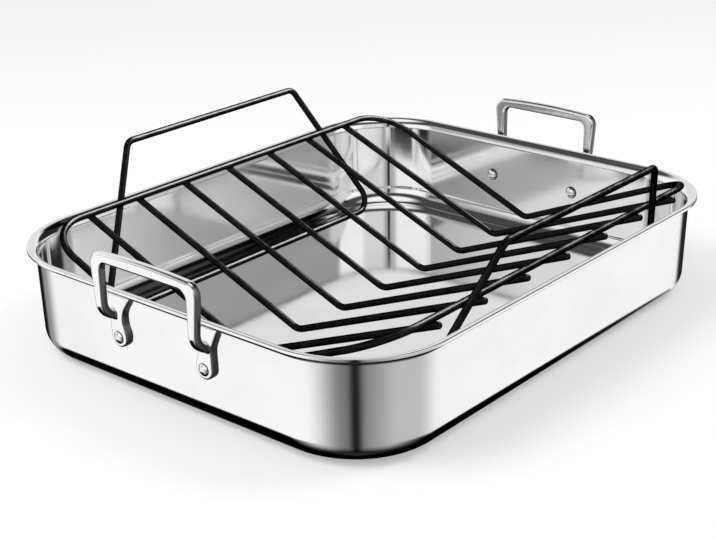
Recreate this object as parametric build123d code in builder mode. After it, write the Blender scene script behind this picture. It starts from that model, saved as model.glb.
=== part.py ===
from build123d import *
import os
from math import asin, atan2, cos, hypot, radians, sin, tan

# Roasting pan with a lift-out V rack.
# Millimetres, +X along the long side, +Y across, +Z up, origin at the middle of the underside.

# Pan shell, one clad sheet pressed to shape
lip_length = 413.0
lip_width = 334.0
lip_corner_radius = 67.5
pan_height = 73.0
sheet = 2.5
flare_radius = 5.0
bottom_radius = 13.0
wall_inset = 5.8
wall_draft = 1.2
lip_edge_round = 0.6

# Rivets, two through each handle
rivet_offset = 3.05
rivet_drop = 31.7
rivet_shank = 5.0
rivet_fit = 0.05
rivet_inner_head = 9.8
rivet_inner_dome = 3.0
rivet_outer_head = 8.6
rivet_outer_dome = 2.0

# Cast handles, one on each short side
pad_thickness = 6.2
pad_width = 13.8
pad_neck = 3.0
pad_neck_start = 3.0
pad_top_width = 27.6
pad_shoulder = 14.5
pad_rise = 29.5
pad_shoulder_round = 14.0
pad_top_round = 1.5
pad_edge_round = 1.2
pad_clearance = 0.3
handle_standoff = 8.5
handle_depth = 6.0
handle_rise = 29.7
handle_crown = 2.1
handle_bar = 8.1
handle_top_width = 93.6
handle_taper = 2.8
leg_width = 7.1
leg_drop = 5.5
handle_corner = 8.5
window_corner = 5.5
handle_edge_round = 2.2
arm_bend = 11.0

# Rack, all of one round wire, standing on the pan floor on its two foot bars
wire = 4.8
weld_bite = 0.25
floor_gap = 0.3
rack_shift = 9.3
rack_end_margin = 25.5
rack_side_margin = 19.3
rail_height = 74.2
rail_corner = 32.0
frame_vertex = 11.7
frame_vertex_bend = 10.0
cross_count = 7
cross_end_margin = 43.75
cross_vertex = 10.0
cross_vertex_bend = 11.0
cross_overhang = 6.2
cross_end_round = 1.6
loop_lean = 17.1
loop_top = 110.7
loop_top_length = 175.0
loop_foot_length = 294.0
loop_top_bend = 8.0
loop_foot_bend = 11.0

# One overrun serves every cut
overrun = 10.0

# Worked out from the sizes above
half_length = lip_length / 2
half_width = lip_width / 2
flare_start = pan_height - sheet - flare_radius
bottom_bend = bottom_radius + sheet
handle_top = pan_height + handle_rise
leg_foot = pan_height - leg_drop
foot_width = handle_top_width - 2 * handle_taper
window_width = foot_width - 2 * leg_width
rivet_height = pan_height - rivet_drop
rivet_spacing = foot_width - leg_width - 2 * rivet_offset
draft = atan2(wall_draft, flare_start - bottom_bend)
sheet_level = sheet / cos(draft)
wire_radius = wire / 2
weld_pitch = wire - weld_bite

os.makedirs("parts", exist_ok=True)


# How far the outer wall face stands inside the lip edge at a height
def outer_inset(height):
    return wall_inset + (flare_start - height) * tan(draft)


def inner_inset(height):
    return outer_inset(height) + sheet_level


def finish(part, name):
    part.label = name
    export_step(part, f"parts/{name}.step")


# Planes on the outer wall faces of the two short sides, level with the rivets
wall_reach = half_length - outer_inset(rivet_height)
near_wall = Plane(
    origin=(-wall_reach, 0, rivet_height), x_dir=(0, -1, 0), z_dir=(-cos(draft), 0, -sin(draft))
)
far_wall = Plane(
    origin=(wall_reach, 0, rivet_height), x_dir=(0, 1, 0), z_dir=(cos(draft), 0, -sin(draft))
)
rivet_places = [(-rivet_spacing / 2, 0), (rivet_spacing / 2, 0)]


# Pan shell: the wall's section swept round half of the lip outline, mirrored, with the flat floor
floor_inset = inner_inset(sheet) + bottom_radius + sheet
with BuildPart() as pan_shell:
    with BuildLine() as lip_path:
        FilletPolyline(
            (0, -half_width), (half_length, -half_width), (half_length, half_width), (0, half_width),
            radius=lip_corner_radius,
        )
    with BuildSketch(Plane.YZ) as wall_section:
        with BuildLine():
            bent_sheet = FilletPolyline(
                (floor_inset - half_width, sheet),
                (inner_inset(sheet) - half_width, sheet),
                (inner_inset(pan_height) - half_width, pan_height),
                (-half_width, pan_height),
                (-half_width, pan_height - sheet),
                (outer_inset(pan_height - sheet) - half_width, pan_height - sheet),
                (outer_inset(0) - half_width, 0),
                (floor_inset - half_width, 0),
                radius=(
                    bottom_radius, flare_radius + sheet, lip_edge_round,
                    lip_edge_round, flare_radius, bottom_bend,
                ),
            )
            Line(bent_sheet @ 1, bent_sheet @ 0)
        make_face()
    sweep(path=lip_path.wire())
    mirror(about=Plane.YZ)
    with BuildSketch(Plane.XY):
        RectangleRounded(
            lip_length - 2 * floor_inset, lip_width - 2 * floor_inset, lip_corner_radius - floor_inset
        )
    extrude(amount=sheet)
    for wall in (near_wall, far_wall):
        with Locations(*[wall * Location((*place, 0)) for place in rivet_places]):
            Cylinder(rivet_shank / 2 + rivet_fit, 2 * overrun, mode=Mode.SUBTRACT)
finish(pan_shell.part, "pan_shell")


# Near handle: two riveted pads, and a flat cast loop with a crowned bar whose legs bend in to them
pad_half = pad_width / 2
loop_middle = half_length + handle_standoff
shoulder_level = handle_top - handle_crown
window_height = 2 * (handle_top - handle_bar - leg_foot)
arm_level = leg_foot - arm_bend
arm_run = loop_middle - arm_bend - (half_length - outer_inset(arm_level)) - pad_thickness / 2
flare_centre = half_length - outer_inset(flare_start) + flare_radius / cos(draft)
with BuildPart() as near_handle:
    with BuildSketch(near_wall):
        with BuildLine():
            pad_sides = FilletPolyline(
                (rivet_spacing / 2 + pad_half, 0),
                (rivet_spacing / 2 + pad_half, pad_shoulder),
                (rivet_spacing / 2 + pad_top_width / 2, pad_rise),
                (rivet_spacing / 2 - pad_top_width / 2, pad_rise),
                (rivet_spacing / 2 - pad_neck, pad_shoulder),
                (rivet_spacing / 2 - pad_half, pad_neck_start),
                (rivet_spacing / 2 - pad_half, 0),
                radius=(
                    pad_shoulder_round, pad_top_round, pad_top_round, pad_shoulder_round, pad_shoulder_round,
                ),
            )
            ThreePointArc(pad_sides @ 1, (rivet_spacing / 2, -pad_half), pad_sides @ 0)
        make_face()
        mirror(about=Plane.YZ)
    extrude(amount=pad_thickness)
    fillet(near_handle.faces().sort_by(Axis.X)[:2].edges(), pad_edge_round)

    # The pads run up under the flared lip, just clear of it
    with BuildSketch(Plane.XZ):
        with Locations((-flare_centre, flare_start)):
            Rectangle(
                flare_radius + overrun, flare_radius + overrun, align=(Align.MIN, Align.MIN)
            )
            Circle(flare_radius - pad_clearance, mode=Mode.SUBTRACT)
        with Locations((-flare_centre, flare_start + flare_radius - pad_clearance)):
            Rectangle(overrun, overrun, align=(Align.MAX, Align.MIN))
    extrude(amount=half_width, both=True, mode=Mode.SUBTRACT)
    with Locations(*[near_wall * Location((*place, 0)) for place in rivet_places]):
        Cylinder(rivet_shank / 2 + rivet_fit, 2 * overrun, mode=Mode.SUBTRACT)

    with BuildSketch(Plane.YZ.offset(-loop_middle)) as loop_outline:
        with BuildLine():
            crown = ThreePointArc(
                (-handle_top_width / 2, shoulder_level),
                (0, handle_top),
                (handle_top_width / 2, shoulder_level),
            )
            Polyline(
                crown @ 1,
                (foot_width / 2, leg_foot),
                (-foot_width / 2, leg_foot),
                crown @ 0,
            )
        make_face()
        fillet(loop_outline.vertices().group_by(Axis.Y)[-1], handle_corner)
        with Locations((0, leg_foot)):
            RectangleRounded(window_width, window_height, window_corner, mode=Mode.SUBTRACT)
    extrude(amount=handle_depth / 2, both=True)
    loop_edges = near_handle.edges(Select.LAST)
    rims = loop_edges - loop_edges.filter_by(Axis.X) - loop_edges.filter_by(Axis.Y).group_by(Axis.Z)[0]
    fillet(rims, handle_edge_round)
    level_faces = near_handle.faces().filter_by(Axis.Z)
    for foot in level_faces.group_by(Axis.X)[0].group_by(Axis.Z)[0]:
        with BuildLine(Plane(origin=foot.center(), x_dir=(1, 0, 0), z_dir=(0, -1, 0))) as arm_path:
            bend = JernArc((0, 0), tangent=(0, -1), radius=arm_bend, arc_size=90)
            Line(bend @ 1, (arm_bend + arm_run, -arm_bend))
        sweep(sections=foot, path=arm_path.wire())
finish(near_handle.part, "near_handle")

with BuildPart() as far_handle:
    mirror(near_handle.part, about=Plane.YZ)
finish(far_handle.part, "far_handle")


# Rivet, drawn once about its own axis: the wall's outer face is at zero, the pad outside it
with BuildPart() as rivet:
    with BuildSketch(Plane.XZ):
        with BuildLine():
            Polyline(
                (0, -sheet - rivet_inner_dome),
                (0, pad_thickness + rivet_outer_dome),
            )
            shank = Polyline(
                (rivet_outer_head / 2, pad_thickness),
                (rivet_shank / 2, pad_thickness),
                (rivet_shank / 2, -sheet),
                (rivet_inner_head / 2, -sheet),
            )
            RadiusArc(
                (0, pad_thickness + rivet_outer_dome),
                shank @ 0,
                ((rivet_outer_head / 2) ** 2 + rivet_outer_dome**2) / (2 * rivet_outer_dome),
            )
            RadiusArc(
                shank @ 1,
                (0, -sheet - rivet_inner_dome),
                ((rivet_inner_head / 2) ** 2 + rivet_inner_dome**2) / (2 * rivet_inner_dome),
            )
        make_face()
    revolve(axis=Axis.Z)

for wall, name in ((near_wall, "near_handle_rivets"), (far_wall, "far_handle_rivets")):
    with BuildPart() as rivet_pair:
        with Locations(*[wall * Location((*place, 0)) for place in rivet_places]):
            add(rivet.part)
    finish(rivet_pair.part, name)


# The rack stands in its own frame: origin on the pan floor under its middle
rack_base = Plane(origin=(rack_shift, 0, sheet + floor_gap))
rail_reach = half_width - rack_side_margin
rail_end = half_length - rack_end_margin


# A round wire swept along a path of straight runs and bends
def bent_wire(points, bends):
    with BuildPart() as rod:
        with BuildLine(rack_base) as path:
            FilletPolyline(*points, radius=bends)
        run = path.wire()
        with BuildSketch(Plane(origin=run @ 0, z_dir=run % 0)):
            Circle(wire_radius)
        sweep(path=run)
    return rod.part


# Frame loop: two rails joined at each end by an arm that dips to the trough's bottom
with BuildPart() as rack_frame:
    add(bent_wire(
        [
            (0, rail_reach, rail_height),
            (-rail_end, rail_reach, rail_height),
            (-rail_end, 0, frame_vertex),
            (-rail_end, -rail_reach, rail_height),
            (0, -rail_reach, rail_height),
        ],
        (rail_corner, frame_vertex_bend, rail_corner),
    ))
    mirror(about=Plane(rack_base.origin, z_dir=(1, 0, 0)))
finish(rack_frame.part, "rack_frame")


# Cross wires: V wires welded under the rails, one weld pitch away, square to the wires
trough_rise = rail_height - cross_vertex
trough_slope = atan2(trough_rise, rail_reach) - asin(weld_pitch / hypot(rail_reach, trough_rise))
cross_reach = rail_reach + cross_overhang
cross_tip = cross_vertex + cross_reach * tan(trough_slope)
cross_span = rail_end - cross_end_margin
for number in range(cross_count):
    place = cross_span * (2 * number / (cross_count - 1) - 1)
    with BuildPart() as cross_wire:
        add(bent_wire(
            [(place, cross_reach, cross_tip), (place, 0, cross_vertex), (place, -cross_reach, cross_tip)],
            [cross_vertex_bend],
        ))
        tips = cross_wire.edges().filter_by(GeomType.CIRCLE).sort_by(Axis.Y)
        fillet([tips[0], tips[-1]], cross_end_round)
    finish(cross_wire.part, f"cross_wire_{number + 1}")


# Side loops: the lifting handle above the rail and the foot bar below it are one closed wire,
# leaning outwards and welded to the outside of the rail
lean = radians(loop_lean)
loop_foot = wire_radius


def loop_reach(height):
    return rail_reach + weld_pitch / cos(lean) + (height - rail_height) * tan(lean)


for side, name in ((1, "left_rack_loop"), (-1, "right_rack_loop")):
    with BuildPart() as rack_loop:
        add(bent_wire(
            [
                (0, side * loop_reach(loop_top), loop_top),
                (-loop_top_length / 2, side * loop_reach(loop_top), loop_top),
                (-loop_foot_length / 2, side * loop_reach(loop_foot), loop_foot),
                (0, side * loop_reach(loop_foot), loop_foot),
            ],
            (loop_top_bend, loop_foot_bend),
        ))
        mirror(about=Plane(rack_base.origin, z_dir=(1, 0, 0)))
    finish(rack_loop.part, name)
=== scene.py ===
from math import cos, pi, radians, sin, sqrt

import bpy
from mathutils import Matrix, Vector


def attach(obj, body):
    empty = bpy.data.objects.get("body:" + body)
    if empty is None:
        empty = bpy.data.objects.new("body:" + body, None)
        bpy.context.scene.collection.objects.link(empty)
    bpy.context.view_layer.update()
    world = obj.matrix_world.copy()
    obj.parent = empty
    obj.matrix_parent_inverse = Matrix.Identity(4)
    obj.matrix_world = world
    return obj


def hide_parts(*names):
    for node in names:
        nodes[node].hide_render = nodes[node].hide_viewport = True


# Roasting pan with rack. Metres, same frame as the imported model: +X along the pan, +Z up.
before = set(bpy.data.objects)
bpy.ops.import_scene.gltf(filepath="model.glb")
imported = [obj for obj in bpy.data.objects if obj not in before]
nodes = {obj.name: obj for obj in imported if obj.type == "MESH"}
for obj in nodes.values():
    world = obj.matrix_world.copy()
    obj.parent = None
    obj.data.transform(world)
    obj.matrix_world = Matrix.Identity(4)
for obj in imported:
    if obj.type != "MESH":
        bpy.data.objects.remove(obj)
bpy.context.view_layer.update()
wireNodes = [node for name, node in nodes.items() if "rack" in name or "cross" in name]
scene = bpy.context.scene
scene.view_settings.view_transform = "Standard"
print("frame loaded")


# Camera
camera = {
    "azimuth": -49.85,
    "elevation": 22.03,
    "roll": -0.89,
    "lens": 75.22,
    "target": (0.0, 0.01571, 0.02578),
    "distance": 1.07132,
    "clip": (0.01, 50.0),
}


def addCamera():
    a, e, r = (radians(camera[k]) for k in ("azimuth", "elevation", "roll"))
    back = Vector((sin(a) * cos(e), -cos(a) * cos(e), sin(e)))
    level = Vector((cos(a), sin(a), 0))
    upright = back.cross(level)
    right = cos(r) * level + sin(r) * upright
    up = back.cross(right)
    data = bpy.data.cameras.new("camera")
    data.lens = camera["lens"]
    data.clip_start, data.clip_end = camera["clip"]
    eye = bpy.data.objects.new("camera", data)
    scene.collection.objects.link(eye)
    turn = Matrix((right, up, back)).transposed().to_4x4()
    eye.matrix_world = Matrix.Translation(Vector(camera["target"]) + camera["distance"] * back) @ turn
    scene.camera = eye


addCamera()
print("camera set")


# Node helpers
def newTree(owner):
    owner.use_nodes = True
    owner.node_tree.nodes.clear()
    return owner.node_tree


def addNode(tree, kind, inputs=None, **settings):
    node = tree.nodes.new(kind)
    for key, value in settings.items():
        setattr(node, key, value)
    for key, value in (inputs or {}).items():
        if isinstance(value, bpy.types.NodeSocket):
            tree.links.new(value, node.inputs[key])
        else:
            node.inputs[key].default_value = value
    return node


def mathNode(tree, operation, a, b=0.0):
    return addNode(tree, "ShaderNodeMath", {0: a, 1: b}, operation=operation).outputs[0]


def spread(tree, value, low, high, to=(0.0, 1.0), smooth=True):
    kind = "SMOOTHSTEP" if smooth else "LINEAR"
    inputs = {"Value": value, "From Min": low, "From Max": high, "To Min": to[0], "To Max": to[1]}
    return addNode(tree, "ShaderNodeMapRange", inputs, interpolation_type=kind).outputs["Result"]


# Studio: pale floor, soft lamps, and the cards that the steel mirrors
studio = {
    "floorSize": 8.0,
    "floorTone": 0.8,
    "floorGlow": 0.25,
    "roomLight": 0.62,
    # Compass angle from +X and rise, half width and height, softness each way, all in degrees, and tone
    "cards": [
        (40, -75, 84, 35, 72, 8, 0.01),
        (-140, -84, 180, 16, 1, 36, 0.02),
        (0, 54, 180, 6, 1, 14, 0.06),
        (-8, 41, 34, 5, 12, 6, 0.02),
        (-6, 26, 20, 18, 9, 6, 0.02),
        (-2, -48, 30, 12, 10, 3, 0.02),
        (116, -49, 12, 12, 8, 4, 0.02),
        (67, -24, 12, 2, 12, 6, 0.02),
        (12, -22, 18, 3, 14, 6, 0.02),
        (60, -30, 34, 24, 26, 8, 0.3),
        (-147, -34, 6, 28, 50, 9, 0.2),
        (-142, -34, 1, 28, 11, 9, 0.08),
        (-88, -34, 18, 28, 42, 9, 0.55),
        (-142, 20, 1, 18, 2, 6, 0.0),
        (-144, 20, 5, 18, 9, 8, 0.5),
        (-120, 20, 16, 18, 12, 8, 0.76),
        (-38, 20, 8, 18, 10, 8, 0.36),
        (138, 20, 3, 18, 6, 8, 0.5),
        (137, 20, 12, 18, 8, 8, 0.85),
        (44, 20, 10, 18, 16, 8, 0.8),
    ],
    # These are kept to the dark wires, whose satin would hardly catch the others
    "wireLamps": [((0.87, -0.2, 0.9), 0.9, 130.0), ((0.6, 1.1, 0.5), 0.9, 40.0)],
    "lamps": [((-0.9, 0.5, 1.3), 0.9, 9.0), ((0.8, -0.7, 1.2), 0.7, 5.0)],
}


def cardGroup():
    group = bpy.data.node_groups.new("studioCard", "ShaderNodeTree")
    names = ["Compass", "Rise", "Card Compass", "Card Rise"]
    names += ["Half Width", "Half Height", "Side Fade", "Edge Fade", "Tone"]
    for name in names:
        group.interface.new_socket(name, in_out="INPUT", socket_type="NodeSocketFloat")
    group.interface.new_socket("Share", in_out="OUTPUT", socket_type="NodeSocketFloat")
    given = addNode(group, "NodeGroupInput").outputs
    aside = mathNode(group, "SUBTRACT", given["Compass"], given["Card Compass"])
    aside = addNode(group, "ShaderNodeMath", {0: aside, 1: 180.0, 2: -180.0}, operation="WRAP").outputs[0]
    cover = None
    above = mathNode(group, "SUBTRACT", given["Rise"], given["Card Rise"])
    for off, half, fade in ((aside, "Half Width", "Side Fade"), (above, "Half Height", "Edge Fade")):
        outer = mathNode(group, "ADD", given[half], given[fade])
        off = mathNode(group, "ABSOLUTE", off)
        inside = spread(group, off, given[half], outer, (1.0, 0.0))
        cover = inside if cover is None else mathNode(group, "MULTIPLY", cover, inside)
    darker = mathNode(group, "MULTIPLY", cover, mathNode(group, "SUBTRACT", 1.0, given["Tone"]))
    share = mathNode(group, "SUBTRACT", 1.0, darker)
    addNode(group, "NodeGroupOutput", {"Share": share})
    return group


def addWorld():
    world = bpy.data.worlds.new("studio")
    scene.world = world
    tree = newTree(world)
    card = cardGroup()
    direction = addNode(tree, "ShaderNodeTexCoord").outputs["Generated"]
    parts = addNode(tree, "ShaderNodeSeparateXYZ", {0: direction}).outputs
    compass = mathNode(tree, "DEGREES", mathNode(tree, "ARCTAN2", parts["Y"], parts["X"]))
    rise = mathNode(tree, "DEGREES", mathNode(tree, "ARCSINE", parts["Z"]))
    mirrored = 1.0
    for numbers in studio["cards"]:
        share = addNode(tree, "ShaderNodeGroup", node_tree=card)
        tree.links.new(compass, share.inputs["Compass"])
        tree.links.new(rise, share.inputs["Rise"])
        for socket, number in zip(list(share.inputs)[2:], numbers):
            socket.default_value = number
        mirrored = mathNode(tree, "MULTIPLY", share.outputs[0], mirrored)
    path = addNode(tree, "ShaderNodeLightPath").outputs
    inputs = {"Factor": path["Is Glossy Ray"], "A": studio["roomLight"], "B": mirrored}
    seen = addNode(tree, "ShaderNodeMix", inputs).outputs[0]
    seen = addNode(tree, "ShaderNodeMix", {"Factor": path["Is Camera Ray"], "A": seen, "B": 1.0}).outputs[0]
    sky = addNode(tree, "ShaderNodeBackground", {"Color": (1, 1, 1, 1), "Strength": seen})
    addNode(tree, "ShaderNodeOutputWorld", {"Surface": sky.outputs[0]})


def addFloor():
    bpy.ops.object.select_all(action="DESELECT")
    bpy.ops.mesh.primitive_plane_add(size=studio["floorSize"], location=(0, 0, 0))
    floor = bpy.context.object
    floor.name = "floor"
    floor.visible_glossy = False
    material = bpy.data.materials.new("floorPaper")
    tree = newTree(material)
    tone = studio["floorTone"]
    paper = addNode(tree, "ShaderNodeBsdfDiffuse", {"Color": (tone, tone, tone, 1)})
    path = addNode(tree, "ShaderNodeLightPath").outputs
    lift = mathNode(tree, "MULTIPLY", path["Is Camera Ray"], studio["floorGlow"])
    glow = addNode(tree, "ShaderNodeEmission", {"Color": (1, 1, 1, 1), "Strength": lift})
    both = addNode(tree, "ShaderNodeAddShader", {0: paper.outputs[0], 1: glow.outputs[0]})
    addNode(tree, "ShaderNodeOutputMaterial", {"Surface": both.outputs[0]})
    floor.data.materials.append(material)


def addLamp(name, place, size, power):
    data = bpy.data.lights.new(name, "AREA")
    data.shape = "DISK"
    data.size = size
    data.energy = power
    lamp = bpy.data.objects.new(name, data)
    lamp.location = place
    lamp.rotation_euler = (-Vector(place)).to_track_quat("-Z", "Y").to_euler()
    scene.collection.objects.link(lamp)
    return lamp


def addLamps():
    for number, (place, size, power) in enumerate(studio["lamps"]):
        addLamp(f"softbox{number}", place, size, power).visible_glossy = False
    wires = bpy.data.collections.new("wires")
    for node in wireNodes:
        wires.objects.link(node)
    for number, settings in enumerate(studio["wireLamps"]):
        addLamp(f"wireLamp{number}", *settings).light_linking.receiver_collection = wires


addWorld()
addFloor()
addLamps()
print("studio lit")


# Modelling helpers
def startEdit(obj, mode="FACE"):
    bpy.ops.object.select_all(action="DESELECT")
    bpy.context.view_layer.objects.active = obj
    obj.select_set(True)
    bpy.ops.object.mode_set(mode="EDIT")
    bpy.ops.mesh.select_mode(type=mode)


def applyAll(obj):
    bpy.context.view_layer.objects.active = obj
    for modifier in list(obj.modifiers):
        bpy.ops.object.modifier_apply(modifier=modifier.name)


def placedCopy(obj, place):
    copied = obj.copy()
    copied.data = obj.data.copy()
    scene.collection.objects.link(copied)
    copied.data.transform(place)
    return copied


def joinAll(pieces, title):
    bpy.ops.object.select_all(action="DESELECT")
    for piece in pieces:
        piece.select_set(True)
    bpy.context.view_layer.objects.active = pieces[0]
    bpy.ops.object.join()
    pieces[0].name = title
    return pieces[0]


# Pan shell: the rounded lip outline inset step by step along the sheet's inner face
pan = {
    "length": 0.413,
    "width": 0.334,
    "height": 0.073,
    "sheet": 0.0025,
    "cornerRadius": 0.0675,
    "cornerSteps": 32,
    "flareRadius": 0.0075,
    "flareSteps": 14,
    "wallInset": 0.0083007,
    "draft": 1.375,
    "bottomRadius": 0.013,
    "bottomSteps": 16,
    "floorSteps": (0.001, 0.02),
    "rimRound": 0.0006,
    "rimSegments": 3,
    "rimAngle": 50,
}


def panProfile():
    lean = radians(pan["draft"])
    flare, bottom = pan["flareRadius"], pan["bottomRadius"]
    flareLevel = pan["height"] - flare

    def wallAt(level):
        return pan["wallInset"] + (flareLevel - level) * lean

    turn = pi / 2 - lean
    flareMiddle = wallAt(flareLevel + flare * sin(lean)) - flare * cos(lean)
    points = []
    for step in range(pan["flareSteps"] + 1):
        t = turn * step / pan["flareSteps"]
        points.append((flareMiddle + flare * sin(t), flareLevel + flare * cos(t)))
    bottomLevel = pan["sheet"] + bottom
    bottomMiddle = wallAt(bottomLevel - bottom * sin(lean)) + bottom * cos(lean)
    for step in range(pan["bottomSteps"] + 1):
        t = lean + turn * step / pan["bottomSteps"]
        points.append((bottomMiddle - bottom * cos(t), bottomLevel - bottom * sin(t)))
    for step in pan["floorSteps"]:
        points.append((points[-1][0] + step, pan["sheet"]))
    return points


def makePan():
    bpy.ops.object.select_all(action="DESELECT")
    bpy.ops.mesh.primitive_plane_add(size=1, location=(0, 0, pan["height"]))
    shell = bpy.context.object
    shell.name = "pan_steel"
    shell.scale = (pan["length"], pan["width"], 1)
    bpy.ops.object.transform_apply(location=True, rotation=True, scale=True)
    startEdit(shell, "VERT")
    bpy.ops.mesh.select_all(action="SELECT")
    bpy.ops.mesh.bevel(offset=pan["cornerRadius"], segments=pan["cornerSteps"], affect="VERTICES")
    bpy.ops.mesh.select_mode(type="FACE")
    inset, level = 0.0, pan["height"]
    for nextInset, nextLevel in panProfile():
        bpy.ops.mesh.inset(thickness=nextInset - inset, depth=nextLevel - level)
        inset, level = nextInset, nextLevel
    bpy.ops.object.mode_set(mode="OBJECT")
    wall = shell.modifiers.new("sheet", "SOLIDIFY")
    wall.thickness = pan["sheet"]
    wall.offset = -1
    wall.use_even_offset = True
    rim = shell.modifiers.new("rim", "BEVEL")
    rim.width = pan["rimRound"]
    rim.segments = pan["rimSegments"]
    rim.limit_method = "ANGLE"
    rim.angle_limit = radians(pan["rimAngle"])
    applyAll(shell)
    bpy.ops.object.shade_smooth()
    shell.modifiers.new("flats", "WEIGHTED_NORMAL").keep_sharp = False
    applyAll(shell)
    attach(shell, "pan")
    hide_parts("pan_shell")
    return shell


shell = makePan()
print("pan shell made")


# Handles: the cast loop, its legs and pads blended into one skin, made once and mirrored
handle = {
    "mergeGap": 1e-6,
    "grain": 0.00045,
    "blend": 8,
}


def copyNode(name, title):
    piece = nodes[name].copy()
    piece.data = nodes[name].data.copy()
    piece.name = title
    scene.collection.objects.link(piece)
    piece.parent = None
    piece.data.transform(nodes[name].matrix_world)
    piece.matrix_world = Matrix()
    piece.data.materials.clear()
    return piece


def makeHandles():
    near = copyNode("near_handle", "near_handle_cast")
    startEdit(near, "VERT")
    bpy.ops.mesh.select_all(action="SELECT")
    bpy.ops.mesh.remove_doubles(threshold=handle["mergeGap"])
    bpy.ops.object.mode_set(mode="OBJECT")
    skin = near.modifiers.new("skin", "REMESH")
    skin.mode = "VOXEL"
    skin.voxel_size = handle["grain"]
    blend = near.modifiers.new("blend", "SMOOTH")
    blend.iterations = handle["blend"]
    applyAll(near)
    far = placedCopy(near, Matrix.Scale(-1, 4, (1, 0, 0)))
    far.name = "far_handle_cast"
    far.data.flip_normals()
    for piece, node in ((near, "near_handle"), (far, "far_handle")):
        piece.data.shade_smooth()
        piece.visible_glossy = False
        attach(piece, "pan")
        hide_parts(node)
    return near, far


nearHandle, farHandle = makeHandles()
print("handles made")


# Rivets: a domed head each side, turned ring by ring along the axis
rivet = {
    "sides": 40,
    "domeSteps": 9,
    "innerHead": 0.0049,
    "innerDome": 0.003,
    "outerHead": 0.0043,
    "outerDome": 0.002,
    "shank": 0.0025,
    "rim": 0.00025,
    "pad": 0.0062,
    "reach": 0.200119,  # from the middle of the pan to the wall's outer face
    "level": 0.0413,
    "spacing": 0.0748,
    "edgeAngle": 50,
}


def domeRings(radius, rise):
    ball = (radius * radius + rise * rise) / (2 * rise)
    rings = []
    for step in range(1, rivet["domeSteps"] + 1):
        ring = radius * step / rivet["domeSteps"]
        rings.append((ring, sqrt(ball * ball - ring * ring) - (ball - rise)))
    return rings


def rivetProfile():
    inner = domeRings(rivet["innerHead"], rivet["innerDome"] - rivet["rim"])
    outer = domeRings(rivet["outerHead"], rivet["outerDome"] - rivet["rim"])
    under, over = -pan["sheet"], rivet["pad"]
    points = [(ring, under - rivet["rim"] - rise) for ring, rise in inner]
    points += [(rivet["innerHead"], under), (rivet["shank"], under), (rivet["shank"], over)]
    points += [(rivet["outerHead"], over)]
    points += [(ring, over + rivet["rim"] + rise) for ring, rise in reversed(outer)]
    return points


def makeRivet():
    points = rivetProfile()
    bpy.ops.object.select_all(action="DESELECT")
    bpy.ops.mesh.primitive_circle_add(
        vertices=rivet["sides"], radius=points[0][0], fill_type="NGON", location=(0, 0, points[0][1]))
    body = bpy.context.object
    bpy.ops.object.transform_apply(location=True, rotation=True, scale=True)
    startEdit(body)
    bpy.ops.mesh.select_all(action="SELECT")
    for (ring, level), (nextRing, nextLevel) in zip(points, points[1:]):
        widen = nextRing / ring
        bpy.ops.mesh.extrude_region_move(TRANSFORM_OT_translate={"value": (0, 0, nextLevel - level)})
        bpy.ops.transform.resize(value=(widen, widen, 1), center_override=(0, 0, nextLevel))
    bpy.ops.mesh.select_all(action="SELECT")
    bpy.ops.mesh.normals_make_consistent(inside=False)
    bpy.ops.object.mode_set(mode="OBJECT")
    bpy.ops.object.shade_smooth_by_angle(angle=radians(rivet["edgeAngle"]))
    return body


def placeRivets(body, end, node):
    lean = radians(pan["draft"])
    out = Vector((end * cos(lean), 0, -sin(lean)))
    across = Vector((0, end, 0))
    turn = Matrix((across, out.cross(across), out)).transposed().to_4x4()
    pair = []
    for side in (-1, 1):
        seat = Vector((end * rivet["reach"], side * rivet["spacing"] / 2, rivet["level"]))
        pair.append(placedCopy(body, Matrix.Translation(seat) @ turn))
    both = joinAll(pair, node + "_turned")
    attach(both, "pan")
    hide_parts(node)
    return both


rivetBody = makeRivet()
nearRivets = placeRivets(rivetBody, -1, "near_handle_rivets")
farRivets = placeRivets(rivetBody, 1, "far_handle_rivets")
bpy.data.objects.remove(rivetBody)
print("rivets made")


# Weld beads where the rack's wires cross, one soft lens of metal each
weld = {
    "segments": 20,
    "rings": 12,
    "radius": 0.0021,
    "flat": 0.75,
    "shift": 0.0093,  # the rack sits off the pan's middle
    "rail": (0.1477, 0.077),  # middle of a rail, out and up
    "crossing": 0.0022,
    "slope": 21.87,  # of the trough's sides, in degrees
    "crossPlaces": 7,
    "crossSpan": 0.13725,
    "loopPlaces": (-0.10755, 0.10755),
    "lean": 17.1,  # of the side loops, in degrees
}


def weldSeats():
    seats = []
    step = 2 * weld["crossSpan"] / (weld["crossPlaces"] - 1)
    along = [weld["shift"] - weld["crossSpan"] + step * number for number in range(weld["crossPlaces"])]
    for side in (-1, 1):
        for angle, places in ((weld["slope"] - 90, along),
                              (-weld["lean"], [weld["shift"] + place for place in weld["loopPlaces"]])):
            out = Vector((0, side * cos(radians(angle)), sin(radians(angle))))
            for place in places:
                middle = Vector((place, side * weld["rail"][0], weld["rail"][1])) + weld["crossing"] * out
                seats.append((middle, out))
    return seats


def makeWelds():
    bpy.ops.object.select_all(action="DESELECT")
    bpy.ops.mesh.primitive_uv_sphere_add(
        segments=weld["segments"], ring_count=weld["rings"], radius=weld["radius"], location=(0, 0, 0))
    bead = bpy.context.object
    bead.data.transform(Matrix.Diagonal((1, 1, weld["flat"], 1)))
    bead.data.shade_smooth()
    beads = []
    for middle, out in weldSeats():
        turn = out.to_track_quat("Z", "Y").to_matrix().to_4x4()
        beads.append(placedCopy(bead, Matrix.Translation(middle) @ turn))
    bpy.data.objects.remove(bead)
    joined = joinAll(beads, "rack_welds")
    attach(joined, "rack")
    return joined


welds = makeWelds()
print("welds made")


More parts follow.
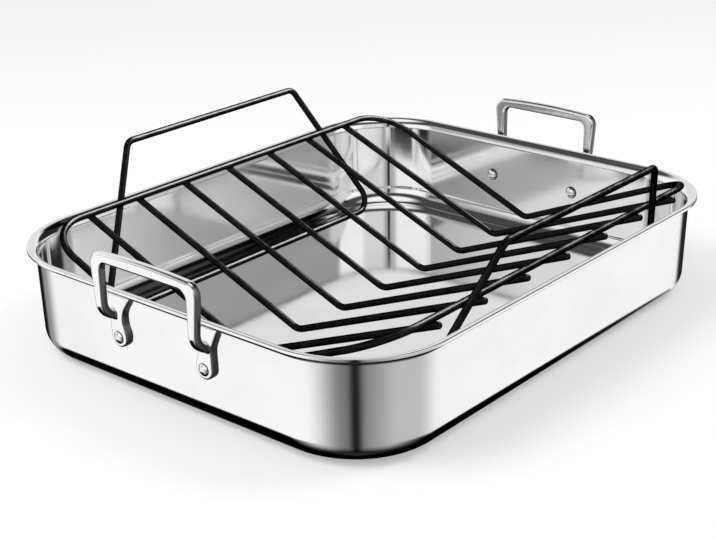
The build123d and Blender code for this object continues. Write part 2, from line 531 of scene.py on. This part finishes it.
# Surface groups, shared by the materials: each gives a value or a normal
def newGroup(name, inputs, output):
    group = bpy.data.node_groups.new(name, "ShaderNodeTree")
    for socket, kind in inputs:
        group.interface.new_socket(socket, in_out="INPUT", socket_type=kind)
    group.interface.new_socket(output[0], in_out="OUTPUT", socket_type=output[1])
    return group, addNode(group, "NodeGroupInput").outputs


def grainGroup():
    number, vector = "NodeSocketFloat", "NodeSocketVector"
    inputs = [("Place", vector), ("Stretch", vector), ("Detail", number), ("Low", number), ("High", number)]
    group, given = newGroup("grain", inputs, ("Mark", number))
    factors = {0: given["Place"], 1: given["Stretch"]}
    place = addNode(group, "ShaderNodeVectorMath", factors, operation="MULTIPLY").outputs[0]
    noise = {"Vector": place, "Scale": 1.0, "Detail": given["Detail"]}
    cloud = addNode(group, "ShaderNodeTexNoise", noise).outputs[0]
    addNode(group, "NodeGroupOutput", {"Mark": spread(group, cloud, given["Low"], given["High"])})
    return group


# Where the painted shade on a side or an underside starts and where it is full, as shares of the way the
# surface faces
paintedShadeShares = {
    "side": (0.55, 0.85),
    "under": (-0.3, -0.75),
}


# Painted shade: a mask that darkens sides facing ±Y and undersides by the way the surface faces
def paintedShadeGroup():
    group, given = newGroup("paintedShadeSideAndUnderside", [("Side", "NodeSocketFloat")], ("Mark", "NodeSocketFloat"))
    normal = addNode(group, "ShaderNodeNewGeometry").outputs["Normal"]
    parts = addNode(group, "ShaderNodeSeparateXYZ", {0: normal}).outputs
    side = spread(group, mathNode(group, "ABSOLUTE", parts["Y"]), *paintedShadeShares["side"])
    side = mathNode(group, "MULTIPLY", side, given["Side"])
    start, full = paintedShadeShares["under"]
    under = spread(group, parts["Z"], full, start, (1.0, 0.0))
    addNode(group, "NodeGroupOutput", {"Mark": mathNode(group, "MAXIMUM", side, under)})
    return group


grain, facing = grainGroup(), paintedShadeGroup()


def objectPlace(tree):
    return addNode(tree, "ShaderNodeTexCoord").outputs["Object"]


def grainMark(tree, stretch, detail=2.0, low=0.3, high=0.7):
    inputs = {"Place": objectPlace(tree), "Stretch": stretch, "Detail": detail, "Low": low, "High": high}
    return addNode(tree, "ShaderNodeGroup", inputs, node_tree=grain).outputs[0]


def tint(tree, value, low, high):
    inputs = {0: value, 6: (*low, 1.0), 7: (*high, 1.0)}
    return addNode(tree, "ShaderNodeMix", inputs, data_type="RGBA").outputs[2]


def bump(tree, height, distance, normal=None):
    inputs = {"Height": height, "Distance": distance}
    if normal is not None:
        inputs["Normal"] = normal
    return addNode(tree, "ShaderNodeBump", inputs).outputs[0]


def newMaterial(name):
    material = bpy.data.materials.new(name)
    return material, newTree(material)


def closeMaterial(tree, inputs):
    shader = addNode(tree, "ShaderNodeBsdfPrincipled", inputs)
    addNode(tree, "ShaderNodeOutputMaterial", {"Surface": shader.outputs[0]})


# Polished steel sheet: level polishing lines, faint wiping smudges and a slow press waviness
sheetLook = {
    "lines": (14.0, 14.0, 1500.0),
    "smudges": (16.0, 16.0, 24.0),
    "waves": (9.0, 9.0, 14.0),
    "dull": (0.87, 0.872, 0.878),
    "bright": (0.93, 0.93, 0.932),
    "roughness": (0.045, 0.085),
    "lineRoughness": 0.03,
    "lineDepth": 4e-7,
    "waveDepth": 0.00006,
}


def sheetSteel():
    material, tree = newMaterial("polishedSheetSteel")
    lines = grainMark(tree, sheetLook["lines"], 3.0)
    smudges = grainMark(tree, sheetLook["smudges"], 4.0)
    waves = grainMark(tree, sheetLook["waves"], 1.0, 0.2, 0.8)
    rough = spread(tree, smudges, 0.0, 1.0, sheetLook["roughness"])
    rough = mathNode(tree, "ADD", rough, mathNode(tree, "MULTIPLY", lines, sheetLook["lineRoughness"]))
    normal = bump(tree, waves, sheetLook["waveDepth"])
    closeMaterial(tree, {
        "Base Color": tint(tree, smudges, sheetLook["bright"], sheetLook["dull"]),
        "Metallic": 1.0,
        "Roughness": rough,
        "Normal": bump(tree, lines, sheetLook["lineDepth"], normal),
    })
    return material


# Cast steel: bright faces, sides and undersides in rougher satin with painted shade darkening their colour,
# fine grain all over
castLook = {
    "grains": (900.0, 900.0, 900.0),
    "patches": (60.0, 60.0, 60.0),
    "face": (0.93, 0.93, 0.935),
    # side is the painted shade colour laid on the sides and undersides
    "side": (0.09, 0.09, 0.093),
    "paintedSideShadeShare": 0.9,
    "roughness": (0.1, 0.17),
    "sideRoughness": 0.16,
    "grainDepth": 0.000004,
}


def castSteel():
    material, tree = newMaterial("castSteel")
    grains = grainMark(tree, castLook["grains"], 3.0)
    patches = grainMark(tree, castLook["patches"], 3.0)
    # Painted shade mask: sides and undersides darker by the way they face
    aside = addNode(tree, "ShaderNodeGroup", {"Side": castLook["paintedSideShadeShare"]}, node_tree=facing).outputs[0]
    rough = spread(tree, patches, 0.0, 1.0, castLook["roughness"])
    rough = mathNode(tree, "ADD", rough, mathNode(tree, "MULTIPLY", aside, castLook["sideRoughness"]))
    closeMaterial(tree, {
        "Base Color": tint(tree, aside, castLook["face"], castLook["side"]),
        "Metallic": 1.0,
        "Roughness": rough,
        "Normal": bump(tree, grains, castLook["grainDepth"]),
    })
    return material


# Rivet steel: turned and tumbled bright, with painted shade darkening the rims of the domes
rivetLook = {
    "grains": (1600.0, 1600.0, 1600.0),
    "patches": (240.0, 240.0, 240.0),
    "bright": (0.94, 0.94, 0.94),
    # dark is the painted shade colour for the dome rims
    "dark": (0.07, 0.07, 0.072),
    "paintedRimShadeFacing": (0.6, 0.84),
    "dullShare": 0.15,
    "roughness": (0.06, 0.12),
    "grainDepth": 0.000001,
}


def rivetSteel():
    material, tree = newMaterial("rivetSteel")
    patches = grainMark(tree, rivetLook["patches"], 2.0)
    grains = grainMark(tree, rivetLook["grains"], 2.0)
    normal = addNode(tree, "ShaderNodeNewGeometry").outputs["Normal"]
    outward = mathNode(tree, "ABSOLUTE", addNode(tree, "ShaderNodeSeparateXYZ", {0: normal}).outputs["X"])
    # Painted shade: dome rims facing away from the rivet's axis go dark; the dull patches are the steel's
    # own tone
    rim = spread(tree, outward, *rivetLook["paintedRimShadeFacing"], (1.0, 0.0))
    shade = mathNode(tree, "MAXIMUM", rim, mathNode(tree, "MULTIPLY", patches, rivetLook["dullShare"]))
    closeMaterial(tree, {
        "Base Color": tint(tree, shade, rivetLook["bright"], rivetLook["dark"]),
        "Metallic": 1.0,
        "Roughness": spread(tree, patches, 0.0, 1.0, rivetLook["roughness"]),
        "Normal": bump(tree, grains, rivetLook["grainDepth"]),
    })
    return material


# Non-stick wire: dark satin coat that mirrors little at its edges, with a fine pebbled skin
wireLook = {
    "pebbles": (1900.0, 1900.0, 1900.0),
    "patches": (90.0, 90.0, 90.0),
    "dark": (0.012, 0.012, 0.012),
    "light": (0.02, 0.02, 0.02),
    "edge": (0.02, 0.02, 0.02, 1.0),
    "roughness": (0.28, 0.36),
    "pebbleDepth": 0.000001,
}


def coatedWire():
    material, tree = newMaterial("nonstickWire")
    pebbles = grainMark(tree, wireLook["pebbles"], 2.0)
    patches = grainMark(tree, wireLook["patches"], 3.0)
    closeMaterial(tree, {
        "Base Color": tint(tree, patches, wireLook["dark"], wireLook["light"]),
        "Metallic": 1.0,
        "Roughness": spread(tree, patches, 0.0, 1.0, wireLook["roughness"]),
        "Specular Tint": wireLook["edge"],
        "Normal": bump(tree, pebbles, wireLook["pebbleDepth"]),
    })
    return material


sheet, cast, turned, coated = sheetSteel(), castSteel(), rivetSteel(), coatedWire()
shell.data.materials.append(sheet)
for piece in (nearHandle, farHandle):
    piece.data.materials.append(cast)
for piece in (nearRivets, farRivets):
    piece.data.materials.append(turned)
    piece.visible_glossy = False
welds.data.materials.append(coated)
welds.visible_glossy = False
for node in wireNodes:
    node.data.materials.clear()
    node.data.materials.append(coated)
    node.visible_glossy = False
print("materials set")
